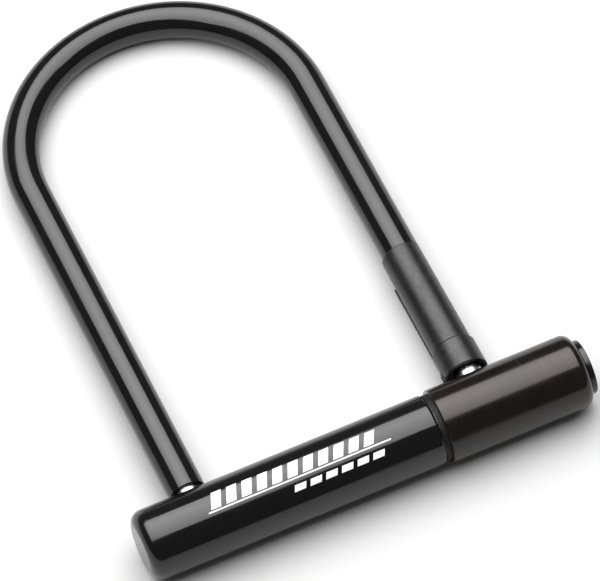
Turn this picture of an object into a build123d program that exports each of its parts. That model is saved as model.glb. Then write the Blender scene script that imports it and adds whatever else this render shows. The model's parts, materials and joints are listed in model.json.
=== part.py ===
"""A bicycle U lock: a coated steel shackle whose two feet are held in a crossbar by a double bolt.

Frame, in millimetres: the lock lies flat, +X runs along the crossbar to the key end, +Y from the
crossbar to the bend of the shackle and +Z up. The origin is below the middle of its outline, on the
surface that it lies on. Inside this script a place is given by three distances from the middle of the
crossbar, which is on its axis and half way between the legs, and at() puts it in the frame.
"""

import os

from build123d import *

# ---------------------------------------------------------------- driving dimensions
INNER_WIDTH = 101.6  # clear space between the coated legs, 4 in
INNER_HEIGHT = 203.2  # clear space from crossbar to bend, 8 in
STEEL_R = 6.0  # hardened shackle bar
COATED_R = 7.35  # shackle bar in its vinyl
TUBE_R = 12.7  # crossbar tube, 1 in outside
BORE_R = 9.7  # inside of the crossbar tube
BAR_R = 13.8  # crossbar in its vinyl
SLEEVE_R = 14.55  # lock sleeve over the key end
FIT = 0.08  # radial clearance of parts that turn or slide in each other
END_GAP = 0.1  # between flat faces that turn or lie against each other

LEG_X = INNER_WIDTH / 2 + COATED_R
LEGS = (-LEG_X, LEG_X)
BEND_Y = SLEEVE_R + INNER_HEIGHT + COATED_R - LEG_X  # centre of the bend
SHACKLE_TOP = BEND_Y + LEG_X + COATED_R

# places along the crossbar
COAT_LEFT, COAT_RIGHT = -83.5, 36.2
SLEEVE_LEFT, SLEEVE_RIGHT = 38.2, 97.0
TUBE_LEFT, TUBE_RIGHT = -79.0, 94.5
CAP_LEFT, CAP_RIM_LEFT, CAP_RIGHT = TUBE_RIGHT, 97.4, 98.1
COVER_LEFT, COVER_RIGHT = CAP_RIGHT + END_GAP, 99.4
CAM_LEFT, CAM_RIGHT = 65.0, 75.4
HOUSING_LEFT = 76.9
FLANGE_LEFT, ROTOR_RIGHT = 92.6, 94.3

# places along the legs
FOOT_END_Y = -8.0
COAT_END_Y = 14.3  # left leg
CARRIER_TOP_Y = 77.4  # carrier sleeve on the right leg
COLLAR_TOP_Y, COLLAR_LOW_Y = 29.5, 16.7

# locking: a quarter turn of the key moves both bolts into the notches of the feet
KEY_TURN = 90.0
BOLT_TRAVEL = 4.2
NOTCH_FLOOR = 1.7  # from the foot's axis
NOTCH_HALF = 2.9
NOSE_HALF = 2.5
NOSE_GAP = 0.3  # from the foot to the retracted bolt

# the middle of the crossbar, in the frame
MIDDLE = Vector(-(COAT_LEFT + COVER_RIGHT) / 2, -(SHACKLE_TOP - SLEEVE_R) / 2, SLEEVE_R)


def at(x=0.0, y=0.0, z=0.0):
    """A place measured from the middle of the crossbar, in the frame."""
    return MIDDLE + Vector(x, y, z)


def across(x, y=0.0, z=0.0):
    """A section across the crossbar, drawn in +Y and +Z and extruded towards the key end."""
    return Plane(origin=at(x, y, z), x_dir=(0, 1, 0), z_dir=(1, 0, 0))


def up_the_leg(x, y):
    """A section across a leg, drawn in +X and -Z and extruded towards the bend."""
    return Plane(origin=at(x, y), x_dir=(1, 0, 0), z_dir=(0, 1, 0))


def level(z=0.0):
    """A horizontal section, drawn in +X and +Y and extruded upwards."""
    return Plane(origin=at(0, 0, z))


def rod(plane, radius, length, hole=0.0, mode=Mode.ADD):
    """A round bar, or a tube where hole is given, that stands on a plane."""
    with BuildSketch(plane) as section:
        Circle(radius)
        if hole:
            Circle(hole, mode=Mode.SUBTRACT)
    extrude(section.sketch, amount=length, mode=mode)


def block(x, y, z, mode=Mode.ADD):
    """A box between two values along each axis."""
    spans = (x, y, z)
    with Locations(at(*[sum(span) / 2 for span in spans])):
        Box(*[high - low for low, high in spans], mode=mode)


def foot_holes(radius, legs):
    """Round holes through the top of the crossbar, for the feet of the shackle."""
    for leg in legs:
        rod(up_the_leg(leg, 0), radius, 2 * SLEEVE_R, mode=Mode.SUBTRACT)


def shackle_path(left_y, right_y):
    """Up the left leg, round the bend and down the right leg."""
    with BuildLine(level()) as path:
        Line((-LEG_X, left_y), (-LEG_X, BEND_Y))
        CenterArc((0, BEND_Y), LEG_X, 180, -180)
        Line((LEG_X, BEND_Y), (LEG_X, right_y))
    return path.wires()[0]


def save(piece, name):
    """Labels a finished piece and writes it as one STEP file."""
    piece.part.label = name
    export_step(piece.part, f"parts/{name}.step")


os.makedirs("parts", exist_ok=True)

# ================================================================ shackle
# ---- shackle bar: one round bar bent through a half turn, with a notch in each foot
FOOT_CHAMFER = 1.5
with BuildPart() as shackle_bar:
    with BuildSketch(up_the_leg(-LEG_X, FOOT_END_Y)):
        Circle(STEEL_R)
    sweep(path=shackle_path(FOOT_END_Y, FOOT_END_Y))
    chamfer(shackle_bar.faces().filter_by(Axis.Y).edges(), FOOT_CHAMFER)
    for leg in LEGS:
        block((leg - 2 * STEEL_R, leg - NOTCH_FLOOR), (-NOTCH_HALF, NOTCH_HALF),
              (-2 * STEEL_R, 2 * STEEL_R), mode=Mode.SUBTRACT)
save(shackle_bar, "shackle_bar")

# ---- shackle coating: vinyl from just above the left hole, round the bend, to the carrier sleeve
COAT_END_ROUND = 0.45
with BuildPart() as shackle_coating:
    with BuildSketch(up_the_leg(-LEG_X, COAT_END_Y)):
        Circle(COATED_R)
        Circle(STEEL_R, mode=Mode.SUBTRACT)
    sweep(path=shackle_path(COAT_END_Y, CARRIER_TOP_Y))
    coat_ends = shackle_coating.faces().filter_by(Axis.Y)
    fillet([face.outer_wire().edge() for face in coat_ends], COAT_END_ROUND)
save(shackle_coating, "shackle_coating")

# ---- carrier sleeve: moulded on the right leg, with a T rail below that slides into a frame bracket
CARRIER_X = LEG_X - 0.5  # its axis, off the leg's
CARRIER_TOP_R, CARRIER_LOW_R = 7.85, 8.1
CARRIER_NECK_R = 7.4
CARRIER_NECK_LOW_Y = 18.2
CARRIER_TOP_ROUND = 0.4
SHOULDER_Y = COLLAR_TOP_Y + END_GAP
RAIL_Y = (31.3, 70.0)
RAIL_HALF, RAIL_Z = 6.5, (-11.5, -9.1)
RAIL_ROUND = 0.8
RAIL_WEB_HALF, RAIL_WEB_Z, RAIL_WEB_END_Y = 4.0, (RAIL_Z[1], -STEEL_R - 1.0), 74.5
with BuildPart() as carrier_sleeve:
    with BuildSketch(level()) as carrier_profile:
        with BuildLine():
            Polyline(
                (CARRIER_X, CARRIER_NECK_LOW_Y),
                (CARRIER_X + CARRIER_NECK_R, CARRIER_NECK_LOW_Y),
                (CARRIER_X + CARRIER_NECK_R, SHOULDER_Y),
                (CARRIER_X + CARRIER_LOW_R, SHOULDER_Y),
                (CARRIER_X + CARRIER_TOP_R, CARRIER_TOP_Y),
                (CARRIER_X, CARRIER_TOP_Y),
                close=True,
            )
        make_face()
    revolve(axis=Axis(at(CARRIER_X), (0, 1, 0)))
    fillet(carrier_sleeve.edges().filter_by(GeomType.CIRCLE).group_by(Axis.Y)[-1], CARRIER_TOP_ROUND)
    block((CARRIER_X - RAIL_WEB_HALF, CARRIER_X + RAIL_WEB_HALF), (RAIL_Y[0], RAIL_WEB_END_Y), RAIL_WEB_Z)
    block((CARRIER_X - RAIL_HALF, CARRIER_X + RAIL_HALF), RAIL_Y, RAIL_Z)
    rail_face = carrier_sleeve.faces().filter_by(Axis.Z).sort_by(Axis.Z)[0]
    fillet(rail_face.edges(), RAIL_ROUND)
    rod(up_the_leg(LEG_X, 0), STEEL_R, SHACKLE_TOP, mode=Mode.SUBTRACT)
save(carrier_sleeve, "carrier_sleeve")

# ---- carrier collar: a ring with finger ribs on one side, that turns on the sleeve's neck
COLLAR_R = 8.8
COLLAR_CHAMFER = 0.7
COLLAR_END_ROUND = 0.5
COLLAR_RIBS, COLLAR_RIBS_FROM, COLLAR_RIBS_SPAN = 10, 85, 125  # degrees from +X, by way of -Z
COLLAR_RIB_R, COLLAR_RIB_LENGTH = 0.55, 3.4
with BuildPart() as carrier_collar:
    rod(up_the_leg(CARRIER_X, COLLAR_LOW_Y), COLLAR_R, COLLAR_TOP_Y - COLLAR_LOW_Y)
    collar_rims = carrier_collar.edges().group_by(Axis.Y)
    chamfer(collar_rims[-1], COLLAR_CHAMFER)
    fillet(collar_rims[0], COLLAR_END_ROUND)
    with BuildSketch(up_the_leg(CARRIER_X, COLLAR_LOW_Y + COLLAR_END_ROUND)):
        with PolarLocations(COLLAR_R, COLLAR_RIBS, COLLAR_RIBS_FROM, COLLAR_RIBS_SPAN):
            Circle(COLLAR_RIB_R)
    extrude(amount=COLLAR_RIB_LENGTH)
    rod(up_the_leg(CARRIER_X, 0), CARRIER_NECK_R + FIT, SHACKLE_TOP, mode=Mode.SUBTRACT)
save(carrier_collar, "carrier_collar")

# ================================================================ crossbar
# ---- crossbar tube, with two foot holes and two holes for the housing pins
BUSH_R = 7.2
PIN_R, PIN_X = 1.5, 87.0
PIN_TIP_R, PIN_HEAD_R = 7.9, 12.6  # from the crossbar's axis
with BuildPart() as crossbar_tube:
    rod(across(TUBE_LEFT), TUBE_R, TUBE_RIGHT - TUBE_LEFT, hole=BORE_R)
    foot_holes(BUSH_R, LEGS)
    rod(Plane(origin=at(PIN_X, 0, -2 * TUBE_R)), PIN_R, 4 * TUBE_R, mode=Mode.SUBTRACT)
save(crossbar_tube, "crossbar_tube")

# ---- end plug, welded into the closed end of the tube
PLUG_LEFT, PLUG_RIGHT = -81.0, -76.6
PLUG_CHAMFER = 0.8
with BuildPart() as end_plug:
    rod(across(PLUG_LEFT), BORE_R, PLUG_RIGHT - PLUG_LEFT)
    chamfer(end_plug.faces().sort_by(Axis.X)[-1].edges(), PLUG_CHAMFER)
save(end_plug, "end_plug")

# ---- crossbar coating: a vinyl boot with a closed, rounded end
HOLE_R = 6.6
END_ROUND = 5.0
MOUTH_ROUND = 1.6
with BuildPart() as crossbar_coating:
    rod(across(COAT_LEFT), BAR_R, COAT_RIGHT - COAT_LEFT)
    fillet(crossbar_coating.faces().sort_by(Axis.X)[0].edges(), END_ROUND)
    fillet(crossbar_coating.faces().sort_by(Axis.X)[-1].edges(), MOUTH_ROUND)
    rod(across(TUBE_LEFT), TUBE_R, COAT_RIGHT - TUBE_LEFT, mode=Mode.SUBTRACT)
    rod(across(PLUG_LEFT), BORE_R, TUBE_LEFT - PLUG_LEFT, mode=Mode.SUBTRACT)
    foot_holes(HOLE_R, (-LEG_X,))
save(crossbar_coating, "crossbar_coating")

# ---- sleeve seal: rubber ring between the vinyl and the lock sleeve
SEAL_R = 13.2
with BuildPart() as sleeve_seal:
    rod(across(COAT_RIGHT), SEAL_R, SLEEVE_LEFT - COAT_RIGHT, hole=TUBE_R)
save(sleeve_seal, "sleeve_seal")

# ---- lock sleeve over the key end, with a lip that holds the end cap
CAP_NECK_R = 9.6
SLEEVE_ROUND = 3.8
SLEEVE_LIP_ROUND = 0.5
with BuildPart() as lock_sleeve:
    rod(across(SLEEVE_LEFT), SLEEVE_R, SLEEVE_RIGHT - SLEEVE_LEFT)
    fillet(lock_sleeve.faces().sort_by(Axis.X)[-1].edges(), SLEEVE_ROUND)
    fillet(lock_sleeve.faces().sort_by(Axis.X)[0].edges(), SLEEVE_LIP_ROUND)
    rod(across(SLEEVE_LEFT), TUBE_R, TUBE_RIGHT - SLEEVE_LEFT, mode=Mode.SUBTRACT)
    rod(across(TUBE_RIGHT), CAP_NECK_R + FIT, SLEEVE_RIGHT - TUBE_RIGHT, mode=Mode.SUBTRACT)
    foot_holes(HOLE_R, (LEG_X,))
save(lock_sleeve, "lock_sleeve")

# ---- foot bushes: nylon rings in the tube's two holes, under the vinyl and the sleeve
BUSH_LOW_Y = 6.2
for leg, name in zip(LEGS, ("left_foot_bush", "right_foot_bush")):
    with BuildPart() as foot_bush:
        rod(up_the_leg(leg, BUSH_LOW_Y), BUSH_R, TUBE_R, hole=STEEL_R + FIT)
        rod(across(leg - TUBE_R), TUBE_R, 2 * TUBE_R, mode=Mode.INTERSECT)
    save(foot_bush, name)

# ---- foot pads: nylon rests at the bottom of the bore, which the feet stand on
PAD_TOP_Y = FOOT_END_Y - 0.05
with BuildPart() as foot_pads:
    for leg in LEGS:
        block((leg - STEEL_R, leg + STEEL_R), (-BORE_R, PAD_TOP_Y), (-STEEL_R, STEEL_R))
    rod(across(TUBE_LEFT), BORE_R, TUBE_RIGHT - TUBE_LEFT, mode=Mode.INTERSECT)
save(foot_pads, "foot_pads")

# ================================================================ locking bar
# A strip passes beside both feet, and carries a bolt to the left of each foot.
STRIP_HALF = 3.8
STRIP_Z = (6.4, 8.6)
STRIP_ROUND = 1.2
NOSE_LENGTH = 4.6
NOSE_TOP = 4.5
NOSE_CHAMFER = 0.6
BOLT_BODY = 5.0
BOLT_HALF = 4.8
BOLT_LOW_Z = -6.0
RIVET_R, RIVET_HEAD_R, RIVET_HEAD, RIVET_GRIP = 1.4, 2.2, 0.45, 5.0
FOLLOWER_R = 1.0
FOLLOWER_TIP_Z = 3.7
FOLLOWER_X = CAM_LEFT + 3.1
STRIP_RIGHT = FOLLOWER_X + 2.4
SHOULDERS = [leg - STEEL_R - NOSE_GAP - NOSE_LENGTH for leg in LEGS]
RIVET_X = [shoulder - BOLT_BODY / 2 for shoulder in SHOULDERS]

for shoulder, name in zip(SHOULDERS, ("left_bolt", "right_bolt")):
    with BuildPart() as bolt:
        block((shoulder, shoulder + NOSE_LENGTH), (-NOSE_HALF, NOSE_HALF), (-NOSE_TOP, NOSE_TOP))
        chamfer(bolt.faces().sort_by(Axis.X)[-1].edges(), NOSE_CHAMFER)
        block((shoulder - BOLT_BODY, shoulder), (-BOLT_HALF, BOLT_HALF), (BOLT_LOW_Z, STRIP_Z[0]))
        with Locations(at(shoulder - BOLT_BODY / 2, 0, STRIP_Z[0])):
            Hole(RIVET_R, depth=RIVET_GRIP)
    save(bolt, name)

with BuildPart() as locking_strip:
    block((SHOULDERS[0] - BOLT_BODY, STRIP_RIGHT), (-STRIP_HALF, STRIP_HALF), STRIP_Z)
    fillet(locking_strip.edges().filter_by(Axis.Z), STRIP_ROUND)
    with Locations(*[at(x, 0, STRIP_Z[1]) for x in RIVET_X]):
        Hole(RIVET_R)
    with Locations(at(FOLLOWER_X, 0, STRIP_Z[1])):
        Hole(FOLLOWER_R)
save(locking_strip, "locking_strip")

with BuildPart() as bolt_rivets:
    with BuildSketch(level(STRIP_Z[0] - RIVET_GRIP)):
        with Locations(*[(x, 0) for x in RIVET_X]):
            Circle(RIVET_R)
    extrude(amount=STRIP_Z[1] - STRIP_Z[0] + RIVET_GRIP)
    with BuildSketch(level(STRIP_Z[1])):
        with Locations(*[(x, 0) for x in RIVET_X]):
            Circle(RIVET_HEAD_R)
    extrude(amount=RIVET_HEAD)
save(bolt_rivets, "bolt_rivets")

with BuildPart() as cam_follower:
    with BuildSketch(level(FOLLOWER_TIP_Z)):
        with Locations((FOLLOWER_X, 0)):
            Circle(FOLLOWER_R)
    extrude(amount=STRIP_Z[1] - FOLLOWER_TIP_Z)
save(cam_follower, "cam_follower")

# ---- bolt guides: nylon blocks in the tube, each with a channel that a bolt slides in
GUIDE_SLACK = 0.2
GUIDE_FROM, GUIDE_TO = -17.3, -7.6  # from the foot's axis
for leg, name in zip(LEGS, ("left_bolt_guide", "right_bolt_guide")):
    with BuildPart() as bolt_guide:
        rod(across(leg + GUIDE_FROM), BORE_R, GUIDE_TO - GUIDE_FROM)
        block((leg + GUIDE_FROM, leg + GUIDE_TO), (-BOLT_HALF - GUIDE_SLACK, BOLT_HALF + GUIDE_SLACK),
              (BOLT_LOW_Z - GUIDE_SLACK, BORE_R), mode=Mode.SUBTRACT)
    save(bolt_guide, name)

# ---- strip guides: nylon discs along the tube, with a channel for the strip
STRIP_GUIDE_T = 5.0
STRIP_GUIDE_X = (-26.0, 12.0)
with BuildPart() as strip_guides:
    for x in STRIP_GUIDE_X:
        rod(across(x), BORE_R, STRIP_GUIDE_T)
        block((x, x + STRIP_GUIDE_T), (-STRIP_HALF - GUIDE_SLACK, STRIP_HALF + GUIDE_SLACK),
              (STRIP_Z[0] - GUIDE_SLACK, BORE_R), mode=Mode.SUBTRACT)
save(strip_guides, "strip_guides")

# ================================================================ key rotor
CAM_R = 5.8
GROOVE_FLOOR_R = 3.2
GROOVE_W = 2.4
GROOVE_SPARE = 18.0  # degrees of groove beyond the follower, at each end
LEAD = BOLT_TRAVEL * 360 / KEY_TURN
SCREW_R, SCREW_HEAD_R, SCREW_TIP = 1.5, 2.6, 77.0
TONGUE = 1.4
TONGUE_HALF_W, TONGUE_HALF_H = 1.4, 4.4
groove_top_r = CAM_R + 1.0
groove_turns = (KEY_TURN + 2 * GROOVE_SPARE) / 360
groove_start = Plane(
    origin=at(FOLLOWER_X - LEAD * GROOVE_SPARE / 360),
    x_dir=Vector(0, 0, 1).rotate(Axis.X, GROOVE_SPARE),
    z_dir=(1, 0, 0),
)

# ---- cam barrel: its helical groove drives the follower along the crossbar as the key turns
with BuildPart() as cam_barrel:
    rod(across(CAM_LEFT), CAM_R, CAM_RIGHT - CAM_LEFT)
    with BuildLine(Plane.XY) as groove_path:
        Helix(LEAD, LEAD * groove_turns, (GROOVE_FLOOR_R + groove_top_r) / 2, lefthand=True)
    groove_line = groove_start.from_local_coords(groove_path.line)
    with BuildSketch(Plane(groove_line @ 0, x_dir=groove_start.x_dir, z_dir=groove_line % 0)):
        Rectangle(groove_top_r - GROOVE_FLOOR_R, GROOVE_W)
    sweep(path=groove_line, is_frenet=True, mode=Mode.SUBTRACT)
    block((CAM_RIGHT - TONGUE, CAM_RIGHT), (-TONGUE_HALF_W, TONGUE_HALF_W),
          (-TONGUE_HALF_H, TONGUE_HALF_H), mode=Mode.SUBTRACT)
    with Locations(Plane(origin=at(CAM_LEFT), z_dir=(-1, 0, 0))):
        CounterSinkHole(SCREW_R, SCREW_HEAD_R, counter_sink_angle=90)
save(cam_barrel, "cam_barrel")

# ---- cam screw: countersunk in the barrel and threaded into the rotor
SOCKET_R, SOCKET_DEPTH = 1.1, 1.3
with BuildPart() as cam_screw:
    with BuildSketch(across(CAM_LEFT)):
        Circle(SCREW_HEAD_R)
    extrude(amount=SCREW_HEAD_R - SCREW_R, taper=45)
    rod(across(CAM_LEFT), SCREW_R, SCREW_TIP - CAM_LEFT)
    with BuildSketch(across(CAM_LEFT)):
        RegularPolygon(SOCKET_R, 6)
    extrude(amount=SOCKET_DEPTH, mode=Mode.SUBTRACT)
save(cam_screw, "cam_screw")

# ---- rotor: the plug that turns with the key, a tube around the discs with a solid rear end
ROTOR_R, ROTOR_BORE_R = 6.3, 5.1
FLANGE_R = 7.4
STACK_LEFT = 79.2
TRACK_X, TRACK_R, BALL_R, BALL_CENTRE_R = 78.0, 1.35, 1.2, 6.65
CLIP_LEFT, CLIP_RIGHT = 75.9, 76.7
CLIP_GROOVE_R = 5.4
SIDEBAR_X = (79.6, 91.6)
SIDEBAR_HALF, SIDEBAR_Y, SIDEBAR_ROUND = 0.7, (4.25, 6.15), 0.4
SLOT_SLACK = 0.05
with BuildPart() as rotor:
    rod(across(CAM_RIGHT), ROTOR_R, ROTOR_RIGHT - CAM_RIGHT)
    rod(across(FLANGE_LEFT), FLANGE_R, ROTOR_RIGHT - FLANGE_LEFT)
    block((CAM_RIGHT - TONGUE, CAM_RIGHT), (-TONGUE_HALF_W, TONGUE_HALF_W), (-TONGUE_HALF_H, TONGUE_HALF_H))
    rod(across(STACK_LEFT), ROTOR_BORE_R, ROTOR_RIGHT - STACK_LEFT, mode=Mode.SUBTRACT)
    rod(across(CAM_LEFT), SCREW_R, SCREW_TIP - CAM_LEFT, mode=Mode.SUBTRACT)
    rod(across(CLIP_LEFT), FLANGE_R, CLIP_RIGHT - CLIP_LEFT, hole=CLIP_GROOVE_R, mode=Mode.SUBTRACT)
    block(SIDEBAR_X, (SIDEBAR_Y[0], FLANGE_R), (-SIDEBAR_HALF - SLOT_SLACK, SIDEBAR_HALF + SLOT_SLACK),
          mode=Mode.SUBTRACT)
    with BuildSketch(level()):
        with Locations((TRACK_X, -BALL_CENTRE_R)):
            Circle(TRACK_R)
    revolve(axis=Axis(at(), (1, 0, 0)), mode=Mode.SUBTRACT)
save(rotor, "rotor")

# ---- rotor clip: an open ring in the rotor's groove, behind the housing
CLIP_R, CLIP_GAP_HALF = 7.2, 1.6
with BuildPart() as rotor_clip:
    rod(across(CLIP_LEFT), CLIP_R, CLIP_RIGHT - CLIP_LEFT, hole=CLIP_GROOVE_R)
    block((CLIP_LEFT, CLIP_RIGHT), (-CLIP_R, 0), (-CLIP_GAP_HALF, CLIP_GAP_HALF), mode=Mode.SUBTRACT)
save(rotor_clip, "rotor_clip")

# ---- discs, washers and face plate: a stack that the key passes through
DISC_COUNT = 7
DISC_R, DISC_T = 5.0, 1.25
WASHER_T = 0.7
KEYWAY_R, KEYWAY_FLAT = 3.4, 1.7
WASHER_BORE_R = 3.6
GATE_Y, GATE_HALF = 4.1, 0.85
PLATE_RIGHT = 94.1


def keyway_disc(x, thickness):
    """A round plate with the D-shaped opening that the key passes through."""
    with BuildSketch(across(x)) as section:
        Circle(DISC_R)
        with BuildSketch(mode=Mode.PRIVATE) as keyway:
            Circle(KEYWAY_R)
            with Locations((0, -KEYWAY_FLAT - KEYWAY_R)):
                Rectangle(4 * KEYWAY_R, 2 * KEYWAY_R, mode=Mode.SUBTRACT)
        add(keyway.sketch_local, mode=Mode.SUBTRACT)
    extrude(section.sketch, amount=thickness)


disc_pitch = DISC_T + WASHER_T
stack_right = STACK_LEFT + DISC_COUNT * disc_pitch - WASHER_T
with BuildPart() as detainer_discs:
    for number in range(DISC_COUNT):
        keyway_disc(STACK_LEFT + number * disc_pitch, DISC_T)
    block((STACK_LEFT, stack_right), (GATE_Y, DISC_R), (-GATE_HALF, GATE_HALF), mode=Mode.SUBTRACT)
save(detainer_discs, "detainer_discs")

with BuildPart() as disc_washers:
    for number in range(1, DISC_COUNT):
        rod(across(STACK_LEFT + number * disc_pitch - WASHER_T), DISC_R, WASHER_T, hole=WASHER_BORE_R)
    block((STACK_LEFT, stack_right), (GATE_Y, DISC_R), (-GATE_HALF, GATE_HALF), mode=Mode.SUBTRACT)
save(disc_washers, "disc_washers")

with BuildPart() as keyway_plate:
    keyway_disc(stack_right, PLATE_RIGHT - stack_right)
save(keyway_plate, "keyway_plate")

# ---- sidebar: drops into the housing's groove when the bolts are out and the key is drawn
with BuildPart() as sidebar:
    block(SIDEBAR_X, SIDEBAR_Y, (-SIDEBAR_HALF, SIDEBAR_HALF))
    fillet(sidebar.faces().sort_by(Axis.Y)[-1].edges().filter_by(Axis.X), SIDEBAR_ROUND)
save(sidebar, "sidebar")

# ================================================================ cylinder housing
HOUSING_R = BORE_R - 0.05
COUNTERBORE_LEFT = FLANGE_LEFT - 0.15
LOCK_GROOVE_TOP, LOCK_GROOVE_SLACK = 7.3, 0.3
BALL_HOLE_R = 1.3
with BuildPart() as cylinder_housing:
    rod(across(HOUSING_LEFT), HOUSING_R, TUBE_RIGHT - HOUSING_LEFT, hole=ROTOR_R + FIT)
    rod(across(COUNTERBORE_LEFT), FLANGE_R + FIT, TUBE_RIGHT - COUNTERBORE_LEFT, mode=Mode.SUBTRACT)
    block((SIDEBAR_X[0] - LOCK_GROOVE_SLACK, SIDEBAR_X[1] + LOCK_GROOVE_SLACK), (-GATE_HALF, GATE_HALF),
          (0, LOCK_GROOVE_TOP), mode=Mode.SUBTRACT)
    with Locations(Plane(origin=at(TRACK_X, -HOUSING_R), z_dir=(0, -1, 0))):
        Hole(BALL_HOLE_R, depth=HOUSING_R - ROTOR_R)
    for side in (-1, 1):
        with Locations(Plane(origin=at(PIN_X, 0, side * HOUSING_R), z_dir=(0, 0, side))):
            Hole(PIN_R, depth=HOUSING_R - PIN_TIP_R)
save(cylinder_housing, "cylinder_housing")

with BuildPart() as housing_pins:
    for side in (-1, 1):
        rod(Plane(origin=at(PIN_X, 0, side * PIN_TIP_R), z_dir=(0, 0, side)), PIN_R, PIN_HEAD_R - PIN_TIP_R)
save(housing_pins, "housing_pins")

with BuildPart() as detent_ball:
    with Locations(at(TRACK_X, -BALL_CENTRE_R)):
        Sphere(BALL_R)
save(detent_ball, "detent_ball")

# ---- detent spring between the ball and the tube
SPRING_WIRE_R, SPRING_R, SPRING_TURNS = 0.18, 0.95, 3
SPRING_LOW, SPRING_HIGH = 7.67, 9.47  # wire centre, from the crossbar's axis
with BuildPart() as detent_spring:
    with BuildLine(Plane.XY) as spring_path:
        Helix((SPRING_HIGH - SPRING_LOW) / SPRING_TURNS, SPRING_HIGH - SPRING_LOW, SPRING_R)
    spring_seat = Plane(origin=at(TRACK_X, -SPRING_LOW), z_dir=(0, -1, 0))
    spring_line = spring_seat.from_local_coords(spring_path.line)
    with BuildSketch(Plane(spring_line @ 0, z_dir=spring_line % 0)):
        Circle(SPRING_WIRE_R)
    sweep(path=spring_line, is_frenet=True)
save(detent_spring, "detent_spring")

# ================================================================ key end
# ---- end cap: snapped into the sleeve's lip, with a round opening over the keyway
CAP_R = 10.7
CAP_OPENING_R, CAP_OPENING_CHAMFER = 4.4, 0.5
COVER_PIN_Z, COVER_PIN_R = 7.9, 1.1
COVER_PIN_LEFT = CAP_LEFT + 0.3
with BuildPart() as end_cap:
    rod(across(CAP_LEFT), CAP_NECK_R, CAP_RIM_LEFT - CAP_LEFT)
    rod(across(CAP_RIM_LEFT), CAP_R, CAP_RIGHT - CAP_RIM_LEFT)
    rod(across(CAP_LEFT), CAP_OPENING_R, CAP_RIGHT - CAP_LEFT, mode=Mode.SUBTRACT)
    chamfer(end_cap.faces().sort_by(Axis.X)[-1].inner_wires().edges(), CAP_OPENING_CHAMFER)
    rod(across(CAP_LEFT, 0, COVER_PIN_Z), COVER_PIN_R, CAP_RIGHT - CAP_LEFT, mode=Mode.SUBTRACT)
save(end_cap, "end_cap")

# ---- dust cover: a disc that swings aside about its pin, and hangs closed
COVER_ROUND = 0.45
PIN_HEAD_LEFT, PIN_HEAD_RIGHT = COVER_RIGHT - 0.5, COVER_RIGHT - 0.1
PIN_HEAD_EDGE_R = 1.9
with BuildPart() as dust_cover:
    rod(across(COVER_LEFT), CAP_R, COVER_RIGHT - COVER_LEFT)
    fillet(dust_cover.faces().sort_by(Axis.X)[-1].edges(), COVER_ROUND)
    rod(across(COVER_LEFT, 0, COVER_PIN_Z), COVER_PIN_R + FIT, COVER_RIGHT - COVER_LEFT, mode=Mode.SUBTRACT)
    rod(across(PIN_HEAD_LEFT - END_GAP, 0, COVER_PIN_Z), PIN_HEAD_EDGE_R + FIT, COVER_RIGHT - COVER_LEFT,
        mode=Mode.SUBTRACT)
save(dust_cover, "dust_cover")

with BuildPart() as cover_pin:
    rod(across(COVER_PIN_LEFT, 0, COVER_PIN_Z), COVER_PIN_R, PIN_HEAD_LEFT - COVER_PIN_LEFT)
    rod(across(PIN_HEAD_LEFT, 0, COVER_PIN_Z), PIN_HEAD_EDGE_R, PIN_HEAD_RIGHT - PIN_HEAD_LEFT)
save(cover_pin, "cover_pin")
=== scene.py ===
"""A bicycle U lock on a pale studio floor under one soft box, seen from above its closed end."""

import json
from math import cos, radians, sin

import bmesh
import bpy
from mathutils import Matrix, Vector


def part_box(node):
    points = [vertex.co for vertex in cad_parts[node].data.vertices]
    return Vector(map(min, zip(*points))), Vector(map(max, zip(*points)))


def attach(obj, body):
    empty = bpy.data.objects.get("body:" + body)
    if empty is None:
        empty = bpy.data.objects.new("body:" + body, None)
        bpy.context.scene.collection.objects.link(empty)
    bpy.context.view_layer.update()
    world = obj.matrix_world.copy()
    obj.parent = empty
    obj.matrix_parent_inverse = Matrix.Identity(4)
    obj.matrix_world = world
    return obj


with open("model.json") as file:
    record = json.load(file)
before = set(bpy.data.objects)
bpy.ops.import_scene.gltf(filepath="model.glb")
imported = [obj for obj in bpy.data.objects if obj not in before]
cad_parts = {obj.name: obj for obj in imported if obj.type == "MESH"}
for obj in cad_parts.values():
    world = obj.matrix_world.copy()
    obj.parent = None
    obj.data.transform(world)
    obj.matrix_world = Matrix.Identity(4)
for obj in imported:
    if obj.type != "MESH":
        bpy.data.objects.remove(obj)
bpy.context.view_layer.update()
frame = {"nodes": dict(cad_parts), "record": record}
nodes = frame["nodes"]
scene = bpy.context.scene
MM = 0.001


# ---------------------------------------------------------------- places, from the frame
def middle(node):
    low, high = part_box(node)
    return (low + high) / 2


def reach(node):
    """Half of a node's size along each axis."""
    low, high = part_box(node)
    return (high - low) / 2


BAR = middle("crossbar_tube")
LEGS_MIDDLE = middle("shackle_bar").x
BAR_CENTRE = Vector((LEGS_MIDDLE, BAR.y, BAR.z))
BAR_R = reach("crossbar_coating").y


# ---------------------------------------------------------------- camera
AIM = BAR_CENTRE + Vector((16.6, 79.9, 0.0)) * MM
DISTANCE = 2.5166  # metres
AZIMUTH, ELEVATION, ROLL = radians(-18.006), radians(55.526), radians(-7.066)
LENS = 396.35  # millimetres
CLIP_END = 50  # metres


def add_camera():
    level = cos(ELEVATION)
    towards = Vector((sin(AZIMUTH) * level, -cos(AZIMUTH) * level, sin(ELEVATION)))
    data = bpy.data.cameras.new("camera")
    data.lens = LENS
    data.clip_end = CLIP_END
    camera = bpy.data.objects.new("camera", data)
    scene.collection.objects.link(camera)
    place = Matrix.Translation(AIM + towards * DISTANCE)
    turn = towards.to_track_quat("Z", "Y").to_matrix().to_4x4()
    camera.matrix_world = place @ turn @ Matrix.Rotation(ROLL, 4, "Z")
    scene.camera = camera


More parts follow.
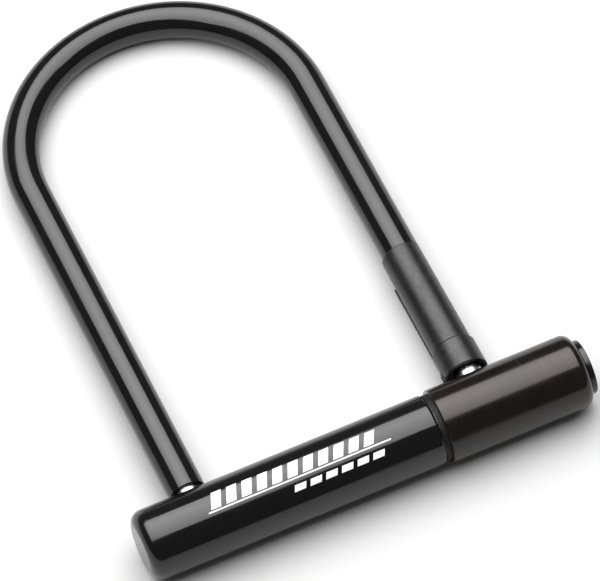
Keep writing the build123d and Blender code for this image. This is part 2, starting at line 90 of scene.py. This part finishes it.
# ---------------------------------------------------------------- light and floor
SOFTBOX_HEIGHT = 1.3  # metres above the crossbar
SOFTBOX_LEFT, SOFTBOX_RIGHT = -0.88, 0.85  # of its height, from the middle of the crossbar
SOFTBOX_NEAR, SOFTBOX_FAR = -0.40, 1.12
SOFTBOX_POWER = 76
HOT_SPOT = Vector((0.0, 0.5, 1.0))  # of its height: the part of the cloth in front of the lamp
HOT_SPOT_INNER, HOT_SPOT_OUTER = 0.12, 0.85
HOT_SPOT_SHARE, RIM_SHARE = 1.2, 0.72  # strength of the light, as a share of plain cloth
ROOM_STRENGTH = 0.12
FLOOR_HALF = 4.0  # metres


def fade_towards_rim(light):
    """The cloth of the soft box is brighter in front of its lamp than at its rim."""
    light.use_nodes = True
    tree = light.node_tree
    distance = tree.nodes.new("ShaderNodeVectorMath")
    distance.operation = "DISTANCE"
    distance.inputs[1].default_value = BAR_CENTRE + HOT_SPOT * SOFTBOX_HEIGHT
    fade = tree.nodes.new("ShaderNodeMapRange")
    fade.inputs["From Min"].default_value = HOT_SPOT_INNER * SOFTBOX_HEIGHT
    fade.inputs["From Max"].default_value = HOT_SPOT_OUTER * SOFTBOX_HEIGHT
    fade.inputs["To Min"].default_value = HOT_SPOT_SHARE
    fade.inputs["To Max"].default_value = RIM_SHARE
    place = tree.nodes.new("ShaderNodeNewGeometry").outputs["Position"]
    tree.links.new(place, distance.inputs[0])
    tree.links.new(distance.outputs["Value"], fade.inputs["Value"])
    tree.links.new(fade.outputs["Result"], tree.nodes["Emission"].inputs["Strength"])


def add_softbox():
    softbox = bpy.data.lights.new("softbox", "AREA")
    softbox.shape = "RECTANGLE"
    softbox.size = (SOFTBOX_RIGHT - SOFTBOX_LEFT) * SOFTBOX_HEIGHT
    softbox.size_y = (SOFTBOX_FAR - SOFTBOX_NEAR) * SOFTBOX_HEIGHT
    softbox.energy = SOFTBOX_POWER
    fade_towards_rim(softbox)
    light = bpy.data.objects.new("softbox", softbox)
    light.location = BAR_CENTRE + SOFTBOX_HEIGHT * Vector((
        (SOFTBOX_LEFT + SOFTBOX_RIGHT) / 2,
        (SOFTBOX_NEAR + SOFTBOX_FAR) / 2,
        1,
    ))
    scene.collection.objects.link(light)


def add_room():
    world = bpy.data.worlds.new("room")
    world.use_nodes = True
    background = world.node_tree.nodes["Background"]
    background.inputs["Color"].default_value = (1, 1, 1, 1)
    background.inputs["Strength"].default_value = ROOM_STRENGTH
    scene.world = world


def add_floor():
    """A floor that touches the lock sleeve and the bend of the shackle."""
    near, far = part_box("lock_sleeve")[0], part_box("shackle_coating")
    bend = Vector((0, far[1].y - reach("shackle_coating").z, far[0].z))
    front = Vector((0, BAR.y, near.z))
    slope = (bend - front).normalized()
    mesh = bpy.data.meshes.new("floor")
    corners = [
        front + slope * y * FLOOR_HALF + Vector((x * FLOOR_HALF, 0, 0))
        for x, y in ((-1, -1), (1, -1), (1, 1), (-1, 1))
    ]
    mesh.from_pydata(corners, [], [(0, 1, 2, 3)])
    floor = bpy.data.objects.new("floor", mesh)
    scene.collection.objects.link(floor)
    mesh.materials.append(floor_paper())


# ---------------------------------------------------------------- materials
# Factors that draw noise out: the smaller one is, the longer the streaks along that axis.
ROUND_BAR = (1, 0.2, 0.2)
ROUND_TURNING = (1, 0.05, 0.05)
ALONG_BAR = (0.05, 1, 1)
ALONG_LEG = (1, 0.05, 1)
DOWN_FACE = (1, 1, 0.07)
OVER_FACE = (1, 0.07, 1)


class Look:
    """A procedural material on one principled shader, in the object's own coordinates.

    Noise scales are in features per metre, and bump depths in metres.
    """

    def __init__(self, name, color, roughness, metallic=0.0, ior=1.5):
        self.material = bpy.data.materials.new(name)
        self.material.use_nodes = True
        self.tree = self.material.node_tree
        self.shader = self.tree.nodes["Principled BSDF"]
        self.set("Base Color", (*color, 1))
        self.set("Roughness", roughness)
        self.set("Metallic", metallic)
        self.set("IOR", ior)
        self.place = self.add("ShaderNodeTexCoord").outputs["Object"]

    def set(self, socket, value):
        self.shader.inputs[socket].default_value = value

    def add(self, kind):
        return self.tree.nodes.new(kind)

    def link(self, output, target):
        self.tree.links.new(output, target)

    def stretched(self, scale):
        mapping = self.add("ShaderNodeMapping")
        mapping.inputs["Scale"].default_value = scale
        self.link(self.place, mapping.inputs["Vector"])
        return mapping.outputs["Vector"]

    def noise(self, scale, detail=3.0, stretch=None):
        node = self.add("ShaderNodeTexNoise")
        node.inputs["Scale"].default_value = scale
        node.inputs["Detail"].default_value = detail
        self.link(self.stretched(stretch) if stretch else self.place, node.inputs["Vector"])
        return node.outputs["Fac"]

    def spread(self, value, low, high, start=0.3, end=0.7):
        """Noise between start and end becomes a value from low to high."""
        node = self.add("ShaderNodeMapRange")
        node.inputs["From Min"].default_value = start
        node.inputs["From Max"].default_value = end
        node.inputs["To Min"].default_value = low
        node.inputs["To Max"].default_value = high
        self.link(value, node.inputs["Value"])
        return node.outputs["Result"]

    def sum(self, first, second):
        node = self.add("ShaderNodeMath")
        node.operation = "ADD"
        self.link(first, node.inputs[0])
        self.link(second, node.inputs[1])
        return node.outputs["Value"]

    def tone(self, value, dark, light):
        ramp = self.add("ShaderNodeValToRGB")
        ramp.color_ramp.elements[0].color = (*dark, 1)
        ramp.color_ramp.elements[1].color = (*light, 1)
        self.link(value, ramp.inputs["Fac"])
        self.link(ramp.outputs["Color"], self.shader.inputs["Base Color"])

    def rough(self, value):
        self.link(value, self.shader.inputs["Roughness"])

    def bump(self, *layers):
        """Each layer is a height from 0 to 1 and its depth."""
        normal = None
        for height, depth in layers:
            node = self.add("ShaderNodeBump")
            node.inputs["Distance"].default_value = depth
            self.link(height, node.inputs["Height"])
            if normal:
                self.link(normal, node.inputs["Normal"])
            normal = node.outputs["Normal"]
        self.link(normal, self.shader.inputs["Normal"])


def grey(value):
    return (value, value, value)


def floor_paper():
    look = Look("floor_paper", grey(0.51), roughness=0.9)
    look.tone(look.noise(scale=400), dark=grey(0.5), light=grey(0.52))
    return look.material


def vinyl():
    """Dipped vinyl: deep gloss with orange peel, faint wipe marks and dust."""
    look = Look("gloss_vinyl", grey(0.003), roughness=0.1)
    look.tone(look.noise(scale=90), dark=grey(0.0022), light=grey(0.0042))
    wiped = look.spread(look.noise(scale=38, detail=5), low=0.06, high=0.17)
    specks = look.noise(scale=1300, detail=2)
    dust = look.spread(specks, low=0.0, high=0.12, start=0.68, end=0.8)
    look.rough(look.sum(wiped, dust))
    orange_peel = look.noise(scale=160, detail=2)
    pores = look.noise(scale=2600, detail=2)
    look.bump((orange_peel, 0.02 * MM), (pores, 0.0006 * MM))
    return look.material


def sleeve_paint():
    """Brown-black satin paint on steel, a little rougher where hands wear it."""
    look = Look("satin_sleeve_paint", (0.005, 0.004, 0.003), roughness=0.17, ior=1.46)
    look.set("Specular Tint", (1.0, 0.93, 0.88, 1))
    mottle = look.spread(look.noise(scale=55, detail=4), low=0, high=1)
    look.tone(mottle, dark=(0.0024, 0.0021, 0.0019), light=(0.0085, 0.0056, 0.0042))
    worn = look.spread(look.noise(scale=45, detail=4), low=0.12, high=0.24)
    streaks = look.noise(scale=420, detail=3, stretch=ROUND_BAR)
    scuffs = look.spread(streaks, low=0.0, high=0.1, start=0.62, end=0.74)
    look.rough(look.sum(worn, scuffs))
    orange_peel = look.noise(scale=240, detail=2)
    grit = look.noise(scale=1500, detail=3)
    look.bump((orange_peel, 0.008 * MM), (grit, 0.0012 * MM))
    return look.material


def hard_plastic():
    """Moulded plastic with a spark-eroded grain."""
    look = Look("grained_plastic", grey(0.005), roughness=0.34)
    look.tone(look.noise(scale=300), dark=grey(0.0035), light=grey(0.007))
    look.rough(look.spread(look.noise(scale=500, detail=3), low=0.27, high=0.42))
    look.bump((look.noise(scale=2400, detail=2), 0.05 * MM))
    return look.material


def cap_plastic():
    """Glossy moulded discs with fine scratches from keys, in two directions."""
    look = Look("gloss_cap_plastic", grey(0.004), roughness=0.16)
    look.tone(look.noise(scale=200), dark=grey(0.003), light=grey(0.006))
    polish = look.spread(look.noise(scale=110, detail=4), low=0.12, high=0.26)
    down = look.noise(scale=520, detail=3, stretch=DOWN_FACE)
    over = look.noise(scale=430, detail=3, stretch=OVER_FACE)
    scratches = look.sum(
        look.spread(down, low=0.0, high=0.16, start=0.6, end=0.72),
        look.spread(over, low=0.0, high=0.12, start=0.62, end=0.74),
    )
    look.rough(look.sum(polish, scratches))
    look.bump((scratches, -0.03 * MM), (look.noise(scale=1800, detail=2), 0.002 * MM))
    return look.material


def seal_rubber():
    look = Look("seal_rubber", grey(0.004), roughness=0.6)
    look.set("Specular IOR Level", 0.25)
    look.tone(look.noise(scale=400), dark=grey(0.003), light=grey(0.006))
    look.rough(look.spread(look.noise(scale=900), low=0.5, high=0.7))
    look.bump((look.noise(scale=2500), 0.01 * MM))
    return look.material


TARNISH = 0.82  # of the metal's colour, where it is darkest
SMOOTHEST, ROUGHEST = 0.75, 1.4  # of the metal's roughness


def metal(name, color, roughness, stretch, scratch_depth):
    """Bare or plated metal with fine tool marks."""
    look = Look(name, color, roughness, metallic=1.0)
    look.tone(look.noise(scale=120), dark=tuple(c * TARNISH for c in color), light=color)
    lines = look.noise(scale=900, detail=4, stretch=stretch)
    look.rough(look.spread(lines, low=roughness * SMOOTHEST, high=roughness * ROUGHEST))
    look.bump((lines, scratch_depth))
    return look.material


def nylon():
    look = Look("moulded_nylon", (0.72, 0.70, 0.64), roughness=0.4)
    look.tone(look.noise(scale=150), dark=(0.66, 0.64, 0.57), light=(0.76, 0.74, 0.68))
    look.rough(look.spread(look.noise(scale=700), low=0.34, high=0.5))
    look.bump((look.noise(scale=1800), 0.01 * MM))
    return look.material


def white_ink():
    look = Look("white_ink", grey(0.8), roughness=0.35)
    look.tone(look.noise(scale=700), dark=grey(0.74), light=grey(0.84))
    look.rough(look.spread(look.noise(scale=900), low=0.3, high=0.45))
    look.bump((look.noise(scale=2200), 0.002 * MM))
    return look.material


SLOT_LOOKS = {
    "vinyl": vinyl(),
    "sleeve_paint": sleeve_paint(),
    "hard_plastic": hard_plastic(),
    "cap_plastic": cap_plastic(),
    "seal_rubber": seal_rubber(),
    "hardened_steel": metal("bright_plate", (0.66, 0.66, 0.64), 0.2, ALONG_LEG, 0.002 * MM),
    "tube_steel": metal("drawn_steel", (0.5, 0.5, 0.5), 0.34, ALONG_BAR, 0.004 * MM),
    "spring_steel": metal("spring_steel", (0.42, 0.42, 0.43), 0.25, None, 0.002 * MM),
    "brass": metal("turned_brass", (0.70, 0.50, 0.22), 0.26, ROUND_TURNING, 0.003 * MM),
    "nylon": nylon(),
}


def dress_nodes():
    slots = {part["node"]: part["material_slot"] for part in frame["record"]["subparts"]}
    for name, node in nodes.items():
        look = SLOT_LOOKS[slots[name]]
        for slot in node.material_slots:
            slot.material = look


# ---------------------------------------------------------------- printed marking
INK_LIFT = 0.03 * MM

# Along the crossbar in millimetres from the middle of the legs, and round it in degrees from the
# top towards the bend. A lean is how far the upper edge is shifted towards the key end.
BAND_LEFT, BAND_RIGHT = -57.0, 14.5
BAND_LOW, BAND_HIGH, BAND_LEAN = -17.0, 11.0, 2.6
BAND_PITCH = 6.2
BLOCK_SHARE, BLOCK_OFFSET = 0.64, 0.25  # of the pitch
BLOCK_DROP = 0.6  # from the top of one block to the next
LINE_LOW, LINE_HIGH, LINE_LEAN = -21.8, -19.6, 0.3
DASH_LEFT, DASH_LOW, DASH_HIGH = -24.0, -41.0, -31.0
DASHES, DASH_PITCH, DASH_WIDTH, DASH_LEAN = 6, 6.4, 4.6, 1.0

# Faces along and round the crossbar, enough to follow its curve
LINE_FACES = (60, 3)
BLOCK_FACES = (6, 12)
DASH_FACES = (6, 4)


def on_bar(x, turn):
    """A point on the crossbar's skin: x in metres, turn in radians."""
    radius = BAR_R + INK_LIFT
    return BAR_CENTRE + Vector((x, radius * sin(turn), radius * cos(turn)))


def patch(bm, shape, faces):
    """One printed area: shape gives x and turn for two values from 0 to 1."""
    across, around = faces
    grid = [
        [bm.verts.new(on_bar(*shape(i / across, j / around))) for j in range(around + 1)]
        for i in range(across + 1)
    ]
    for i in range(across):
        for j in range(around):
            bm.faces.new((grid[i][j], grid[i + 1][j], grid[i + 1][j + 1], grid[i][j + 1]))


def slanted(x, width, low, high, lean):
    """The shape of a printed block from x to x + width and from low to high."""
    def shape(u, v):
        return (x + width * u + lean * v) * MM, radians(low + (high - low) * v)
    return shape


def add_marking():
    """A generic printed band: leaning blocks, a line below them and a shorter row of dashes."""
    bm = bmesh.new()
    line_width = BAND_RIGHT - BAND_LEFT + BAND_LEAN
    patch(bm, slanted(BAND_LEFT, line_width, LINE_LOW, LINE_HIGH, LINE_LEAN), LINE_FACES)
    for number in range(int((BAND_RIGHT - BAND_LEFT) / BAND_PITCH)):
        left = BAND_LEFT + (number + BLOCK_OFFSET) * BAND_PITCH
        top = BAND_HIGH - BLOCK_DROP * number
        patch(bm, slanted(left, BLOCK_SHARE * BAND_PITCH, BAND_LOW, top, BAND_LEAN), BLOCK_FACES)
    for number in range(DASHES):
        left = DASH_LEFT + number * DASH_PITCH
        patch(bm, slanted(left, DASH_WIDTH, DASH_LOW, DASH_HIGH, DASH_LEAN), DASH_FACES)
    mesh = bpy.data.meshes.new("bar_marking")
    bm.to_mesh(mesh)
    bm.free()
    marking = bpy.data.objects.new("bar_marking", mesh)
    scene.collection.objects.link(marking)
    mesh.materials.append(white_ink())
    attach(marking, "crossbar")


add_camera()
add_softbox()
add_room()
add_floor()
dress_nodes()
add_marking()
scene.view_settings.view_transform = "Standard"
